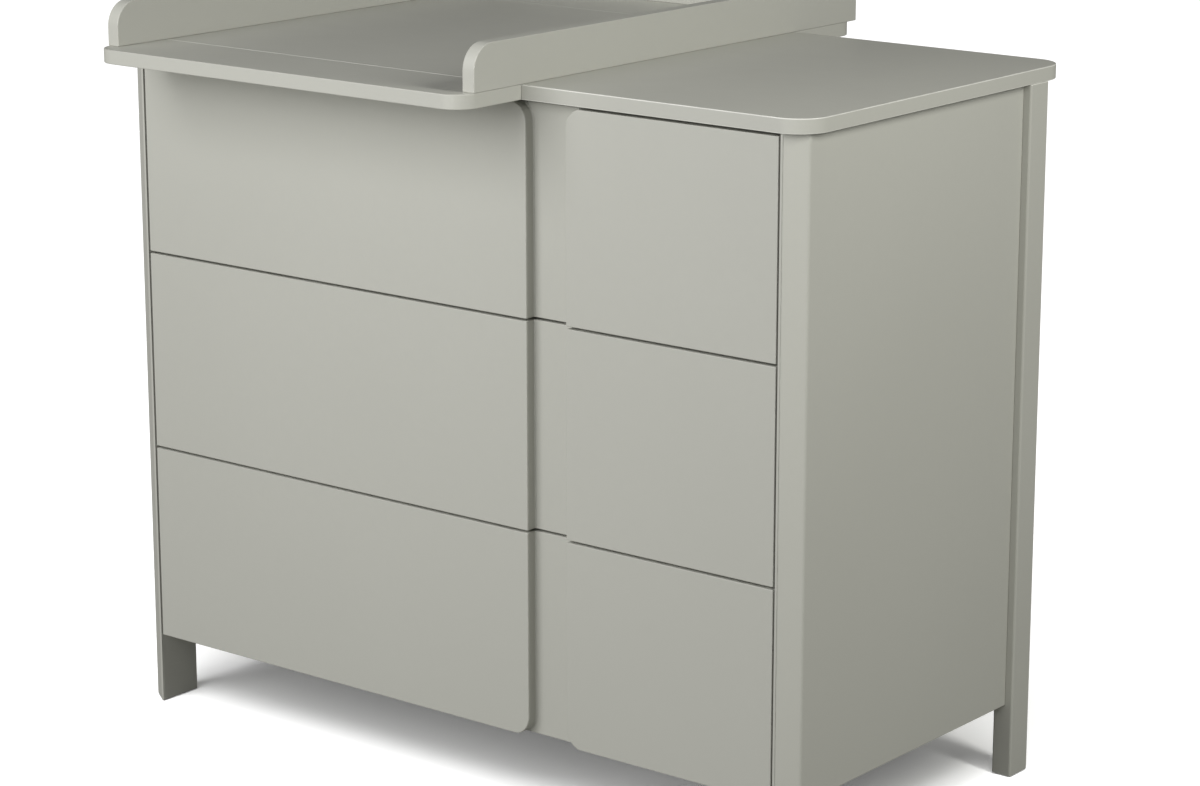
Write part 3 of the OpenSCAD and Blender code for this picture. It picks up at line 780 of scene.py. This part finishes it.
def ball_cage_tree():
    """A strip with a row of balls in it, laid along Y from each point."""
    tree, given = geometry_tree("Ball cage", [
        ("Ball diameter", "Float", 0.0036), ("Pitch", "Float", 0.011), ("Count", "Int", 12),
        ("Strip width", "Float", 0.004), ("Strip thickness", "Float", 0.0008)])
    radius = add(tree, "ShaderNodeMath", {0: given["Ball diameter"], 1: 0.5}, operation="MULTIPLY").outputs[0]
    step = add(tree, "ShaderNodeCombineXYZ", {"Y": given["Pitch"]})
    row = add(tree, "GeometryNodeMeshLine", {"Count": given["Count"], "Offset": step.outputs["Vector"]},
              mode="OFFSET")
    ball = add(tree, "GeometryNodeMeshUVSphere", {"Segments": 10, "Rings": 6, "Radius": radius})
    smooth = add(tree, "GeometryNodeSetShadeSmooth", {"Geometry": ball.outputs["Mesh"]})
    balls = add(tree, "GeometryNodeInstanceOnPoints", {
        "Points": row.outputs["Mesh"], "Instance": smooth.outputs["Geometry"]})
    run = add(tree, "ShaderNodeMath", {0: given["Pitch"], 1: given["Count"]}, operation="MULTIPLY").outputs[0]
    size = add(tree, "ShaderNodeCombineXYZ", {
        "X": given["Strip width"], "Y": run, "Z": given["Strip thickness"]})
    strip = add(tree, "GeometryNodeMeshCube", {"Size": size.outputs["Vector"]})
    back = add(tree, "ShaderNodeMath", {0: run, 1: given["Pitch"]}, operation="SUBTRACT").outputs[0]
    half_back = add(tree, "ShaderNodeMath", {0: back, 1: 0.5}, operation="MULTIPLY").outputs[0]
    centre = add(tree, "ShaderNodeCombineXYZ", {"Y": half_back})
    laid = add(tree, "GeometryNodeTransform", {
        "Geometry": strip.outputs["Mesh"], "Translation": centre.outputs["Vector"]})
    cage = add(tree, "GeometryNodeJoinGeometry", {"Geometry": [
        balls.outputs["Instances"], laid.outputs["Geometry"]]})
    placed = add(tree, "GeometryNodeInstanceOnPoints", {
        "Points": given["Geometry"], "Instance": cage.outputs["Geometry"]})
    return close_tree(tree, given, placed.outputs["Instances"])


# ---------------------------------------------------------------- operators

class Step(bpy.types.Operator):
    """One step of the build."""

    bl_idname = "changing_table.step"
    bl_label = "Step"
    bl_options = {"REGISTER", "UNDO"}

    def execute(self, context):
        self.build()
        return {"FINISHED"}

    def build(self):
        raise NotImplementedError("a step of the build has to say what it builds")


class BuildStage(Step):
    """The camera, the floor and the studio light"""

    bl_idname = "changing_table.stage"
    bl_label = "Stage"

    def build(self):
        setting = stage_settings()
        lens = bpy.data.cameras.new("camera")
        lens.lens = setting.camera_lens
        lens.clip_end = 3 * FLOOR_REACH
        camera = new_object("camera", lens)
        camera.location = setting.camera_at
        camera.rotation_euler = (math.pi / 2 - setting.camera_tilt, 0, setting.camera_turn)
        bpy.context.scene.camera = camera
        bpy.context.scene.view_settings.view_transform = "Standard"
        floor = self.floor(setting.floor_glow)
        self.surround(setting.surround)
        self.softbox("key_softbox", setting.key_power, at=(-0.5, -2.35, 1.8), width=2.0, height=1.9)
        side = self.softbox("side_softbox", setting.side_power, at=(2.2, -0.25, 2.0), width=0.35, height=1.3)
        slightly_warm = (1.0, 1.0, 0.96)
        side.data.color = slightly_warm
        self.softbox("fill_softbox", setting.fill_power, at=(0.76, -3.31, 1.5), width=1.6, height=1.6)
        rear = self.softbox("rear_softbox", setting.rear_power, at=(-2.2, 2.2, 0.55), width=2.0, height=0.7)
        self.link(rear, floor, "EXCLUDE")
        overhead = bpy.data.lights.new("floor_light", "SUN")
        overhead.energy = setting.floor_light
        overhead.angle = math.radians(50)
        lamp = new_object("floor_light", overhead)
        front_right_above = Vector((1.0, -1.9, 4.0))
        lamp.location = front_right_above
        lamp.rotation_euler = (-front_right_above).to_track_quat("-Z", "Y").to_euler()
        self.link(lamp, floor, "INCLUDE")

    def link(self, lamp, receiver, state):
        """Lets the lamp light only the receiver, or everything but the receiver."""
        receivers = bpy.data.collections.new(lamp.name + "_receivers")
        receivers.objects.link(receiver)
        receivers.collection_objects[0].light_linking.link_state = state
        lamp.light_linking.receiver_collection = receivers

    def floor(self, brightness):
        """A wide floor, which looks white to the camera but throws little light back up at the table."""
        outline = rounded_outline((-FLOOR_REACH, -FLOOR_REACH), (FLOOR_REACH, FLOOR_REACH), [0] * 4)
        floor = prism("floor", outline, 2, -FLOOR_THICKNESS, 0)
        material = bpy.data.materials.new("pale_studio_floor")
        material.use_nodes = True
        tree = material.node_tree
        tree.nodes.clear()
        seen = add(tree, "ShaderNodeBsdfDiffuse", {"Color": (0.95, 0.95, 0.95, 1)})
        glow = add(tree, "ShaderNodeEmission", {"Color": (1, 1, 1, 1), "Strength": brightness})
        lifted = add(tree, "ShaderNodeAddShader", {0: seen.outputs["BSDF"], 1: glow.outputs["Emission"]})
        bounced = add(tree, "ShaderNodeBsdfDiffuse", {"Color": (0.18, 0.18, 0.171, 1)})
        ray = add(tree, "ShaderNodeLightPath")
        both = add(tree, "ShaderNodeMixShader", {
            0: ray.outputs["Is Camera Ray"], 1: bounced.outputs["BSDF"], 2: lifted.outputs["Shader"]})
        add(tree, "ShaderNodeOutputMaterial", {"Surface": both.outputs["Shader"]})
        floor.data.materials.append(material)
        return floor

    def surround(self, brightness):
        """White walls behind the floor; the table takes only part of their light."""
        world = bpy.data.worlds.new("studio")
        bpy.context.scene.world = world
        world.use_nodes = True
        tree = world.node_tree
        tree.nodes.clear()
        seen = add(tree, "ShaderNodeBackground", {"Color": (1, 1, 1, 1), "Strength": 1.0})
        taken = add(tree, "ShaderNodeBackground", {"Color": (1, 1, 1, 1), "Strength": brightness})
        ray = add(tree, "ShaderNodeLightPath")
        both = add(tree, "ShaderNodeMixShader", {
            0: ray.outputs["Is Camera Ray"], 1: taken.outputs["Background"], 2: seen.outputs["Background"]})
        add(tree, "ShaderNodeOutputWorld", {"Surface": both.outputs["Shader"]})

    def softbox(self, name, power, at, width, height):
        """A soft light that faces the middle of the table."""
        light = bpy.data.lights.new(name, "AREA")
        light.shape = "RECTANGLE"
        light.size = width
        light.size_y = height
        light.energy = power
        lamp = new_object(name, light)
        lamp.location = at
        towards = TABLE_MIDDLE - Vector(at)
        lamp.rotation_euler = towards.to_track_quat("-Z", "Y").to_euler()
        return lamp


class BuildTop(Step):
    """The top board, with its round corners and eased rim"""

    bl_idname = "changing_table.top"
    bl_label = "Top board"

    def build(self):
        low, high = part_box("top_board")
        edge = shape().arris
        inner_low = (low.x + edge, low.y + edge)
        inner_high = (high.x - edge, high.y - edge)
        outline = rounded_outline(inner_low, inner_high, [shape().top_corner - edge] * 4, steps=16)
        board = grow_board("finished_top_board", outline, low.z, high.z, edge, node_finish("top_board"))
        put(board, node_finish("top_board"), "top_board")


class BuildTray(Step):
    """The changing tray: two strips level with the top board and three guards on edge"""

    bl_idname = "changing_table.tray"
    bl_label = "Changing tray"

    def build(self):
        outer, top = shape().tray_corner, shape().guard_corner
        self.board("tray_front_strip", 2, (outer, outer, 0, 0))
        self.board("tray_rear_strip", 2, (0, 0, outer, outer))
        for node in ("tray_left_guard", "tray_right_guard"):
            self.board(node, 0, (0, 0, 0, top))
        self.board("tray_back_guard", 1, (0, 0, 0, 0))

    def board(self, node, axis, radii):
        low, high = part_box(node)
        outline = rounded_outline(across(low, axis), across(high, axis), radii)
        made = prism("finished_" + node, outline, axis, low[axis], high[axis])
        put(ease(made, shape().arris), node_finish(node), node)


class BuildSides(Step):
    """The two side panels, each with its front leg and the facet down its front edge"""

    bl_idname = "changing_table.sides"
    bl_label = "Side panels"

    def build(self):
        under_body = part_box("bottom_panel")[0].z
        for side, way in (("left", -1), ("right", 1)):
            node = side + "_side_panel"
            low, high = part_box(node)
            leg_rear = low.y + shape().leg_depth
            profile = [(low.y, low.z), (leg_rear, low.z), (leg_rear, under_body),
                       (high.y, under_body), (high.y, high.z), (low.y, high.z)]
            panel = prism("finished_" + node, profile, 0, low.x, high.x)
            outer = high.x if way > 0 else low.x
            past = 5 * MM
            facet = [(outer - way * shape().facet_width, low.y), (outer, low.y + shape().facet_depth),
                     (outer + way * past, low.y + shape().facet_depth), (outer + way * past, low.y - past),
                     (outer - way * shape().facet_width, low.y - past)]
            cut(panel, prism("facet", facet, 2, low.z - past, high.z + past))
            ease(panel, shape().panel_arris, segments=4,
                 radius_of=lambda edge: shape().panel_arris if upright(edge) else shape().arris)
            put(panel, node_finish(node), node)


class BuildRearLegs(Step):
    """The two rear legs"""

    bl_idname = "changing_table.rear_legs"
    bl_label = "Rear legs"

    def build(self):
        edge, corner = 1.0 * MM, 3.0 * MM
        for side in SIDES:
            node = f"rear_{side}_leg"
            low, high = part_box(node)
            outline = rounded_outline((low.x + edge, low.y + edge), (high.x - edge, high.y - edge),
                                      [corner - edge] * 4, steps=6)
            leg = grow_board("finished_" + node, outline, low.z, high.z, edge, node_finish(node))
            put(leg, node_finish(node), node)


class BuildCarcase(Step):
    """The boards behind the drawers: back, bottom and the two top rails"""

    bl_idname = "changing_table.carcase"
    bl_label = "Carcase"

    def build(self):
        for node in ("back_panel", "bottom_panel", "front_top_rail", "rear_top_rail"):
            put(eased_copy(node, shape().box_arris), node_finish(node), node)


class BuildDrawerFronts(Step):
    """The three drawer fronts, each with the finger channel milled down it"""

    bl_idname = "changing_table.drawer_fronts"
    bl_label = "Drawer fronts"

    def build(self):
        for tier in TIERS:
            node = tier + "_drawer_front"
            low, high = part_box(node)
            plan = rounded_outline((low.x, low.y), (high.x, high.y), [0] * 4)
            front = prism("finished_" + node, plan, 2, low.z, high.z)
            cut(front, self.channel(low, high, tier == "bottom", tier == "top"))
            ease(front, shape().arris)
            put(front, node_finish(node), node)

    def channel(self, low, high, corners_below, corners_above):
        """What is milled out of a front: plain walls, a small hollow foot, and round corners at an end."""
        middle, half = shape().channel_middle, shape().channel_width / 2
        past = 16 * MM
        floor = low.y + shape().channel_depth
        below = self.flare(low.z, -1) if corners_below else [(0, low.z - past)]
        above = self.flare(high.z, 1) if corners_above else [(0, high.z + past)]
        right_wall = [(half + u, z) for u, z in below[::-1] + above]
        left_wall = [(-x, z) for x, z in right_wall[::-1]]
        outline = [(middle + x, z) for x, z in right_wall + left_wall]
        cutter = prism("channel", outline, 1, low.y - past, floor)

        def foot(edge):
            return shape().channel_foot if all(abs(v.co.y - floor) < WELD for v in edge.verts) else 0.0

        return ease(cutter, shape().channel_foot, segments=6, radius_of=foot)

    def flare(self, end, way):
        """One side's way out at the channel's end, from the wall on: (distance from the wall, height)."""
        radius, past = shape().panel_corner, 12 * MM
        rise, slope, clear = 1 * MM, 2 * MM, 16 * MM
        centre = end + way * (rise - radius)
        corner = [(radius - x, centre + way * z) for x, z in arc((0, 0), radius, 0, 90, 14)]
        return corner + [(radius + past, end + way * (rise + slope)), (radius + past, end + way * clear)]


class BuildDrawerBoxes(Step):
    """The drawer boxes behind the fronts"""

    bl_idname = "changing_table.drawer_boxes"
    bl_label = "Drawer boxes"

    def build(self):
        for tier in TIERS:
            for part in ("left_side", "right_side", "back", "bottom"):
                node = f"{tier}_drawer_{part}"
                put(eased_copy(node, shape().box_arris), node_finish(node), node)


class BuildRunners(Step):
    """The drawer runners: three rolled rails on each side, with their ball cages"""

    bl_idname = "changing_table.runners"
    bl_label = "Runners"

    def build(self):
        for tier in TIERS:
            for side in SIDES:
                for kind in ("cabinet", "drawer"):
                    node = f"{tier}_{side}_{kind}_rail"
                    put(eased_copy(node, shape().metal_arris, 1), node_finish(node), node)
            node = f"{tier}_middle_rails"
            put(eased_copy(node, shape().metal_arris, 1), node_finish(node), node)
            self.cages(tier)

    def cages(self, tier):
        """Balls between the flanges of neighbouring rails, above and below."""
        sheet = 1.2 * MM
        outer_low, outer_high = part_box(f"{tier}_right_cabinet_rail")
        middle_low, middle_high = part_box(f"{tier}_middle_rails")
        inner_low, inner_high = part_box(f"{tier}_right_drawer_rail")
        middle_z = (outer_low.z + outer_high.z) / 2
        outer_race = (outer_high.z - sheet + middle_high.z) / 2 - middle_z
        inner_race = (middle_high.z - sheet + inner_high.z) / 2 - middle_z
        race_x = (max(outer_low.x, inner_low.x) + min(outer_high.x, inner_high.x)) / 2
        pitch, count, end = 11 * MM, 12, 12 * MM
        points = [(side * race_x, start, middle_z + way * race)
                  for side in (-1, 1) for way in (-1, 1)
                  for race, start in ((outer_race, middle_high.y - end - pitch * (count - 1)),
                                      (inner_race, middle_low.y + end))]
        mesh = bpy.data.meshes.new("cage_points")
        mesh.from_pydata(points, [], [])
        tree = bpy.data.node_groups.get("Ball cage") or ball_cage_tree()
        steel = finish("polished_ball_steel")
        cages = grow(f"{tier}_ball_cages", mesh, tree, steel,
                     Ball_diameter=shape().ball, Pitch=pitch, Count=count)
        put(cages, steel, body=f"{tier}_rails")


class BuildFittings(Step):
    """Plates, wall brackets and glides"""

    bl_idname = "changing_table.fittings"
    bl_label = "Plates, brackets and glides"

    def build(self):
        for node in ("tray_plates", "wall_brackets", "leg_glides"):
            put(eased_copy(node, shape().metal_arris), node_finish(node), node)


class BuildFasteners(Step):
    """Screws with driven heads, and the dowels' wood"""

    bl_idname = "changing_table.fasteners"
    bl_label = "Fasteners"

    def build(self):
        pan = {"head": 8 * MM, "head_height": 1.6 * MM, "shank": 3.9 * MM, "dome": 0.72, "hexagon": False,
               "drive": 4.2 * MM}
        flush = {"head": 9.9 * MM, "head_height": 5 * MM, "shank": 5.9 * MM, "dome": 0.96, "hexagon": True,
                 "drive": 5 * MM}
        for node in NODE_BODY:
            if node in ("leg_screws", "tray_screws"):
                grow_screws(node, **flush)
            elif node.endswith("_screws"):
                grow_screws(node, **pan)
            elif node.endswith("_dowels"):
                frame["nodes"][node].data.materials.clear()
                frame["nodes"][node].data.materials.append(node_finish(node))


STEPS = (BuildStage, BuildTop, BuildTray, BuildSides, BuildRearLegs, BuildCarcase, BuildDrawerFronts,
         BuildDrawerBoxes, BuildRunners, BuildFittings, BuildFasteners)


class ChangingTablePanel(bpy.types.Panel):
    """The build's steps and settings."""

    bl_idname = "VIEW3D_PT_changing_table"
    bl_label = "Changing Table"
    bl_space_type = "VIEW_3D"
    bl_region_type = "UI"
    bl_category = "Changing Table"

    def draw(self, context):
        for step in STEPS:
            self.layout.operator(step.bl_idname)
        for attribute, settings in SETTINGS.items():
            box = self.layout.box()
            for key in settings.__annotations__:
                box.prop(getattr(context.scene, attribute), key)


CLASSES = (*SETTINGS.values(), *STEPS, ChangingTablePanel)


def register():
    for cls in CLASSES:
        bpy.utils.register_class(cls)
    for attribute, settings in SETTINGS.items():
        setattr(bpy.types.Scene, attribute, bpy.props.PointerProperty(type=settings))


def unregister():
    for attribute in SETTINGS:
        delattr(bpy.types.Scene, attribute)
    for cls in reversed(CLASSES):
        bpy.utils.unregister_class(cls)


def main():
    register()
    for step in STEPS:
        category, name = step.bl_idname.split(".")
        if getattr(getattr(bpy.ops, category), name)() != {"FINISHED"}:
            raise RuntimeError(f"{step.bl_label} did not finish")


if __name__ == "__main__":
    main()
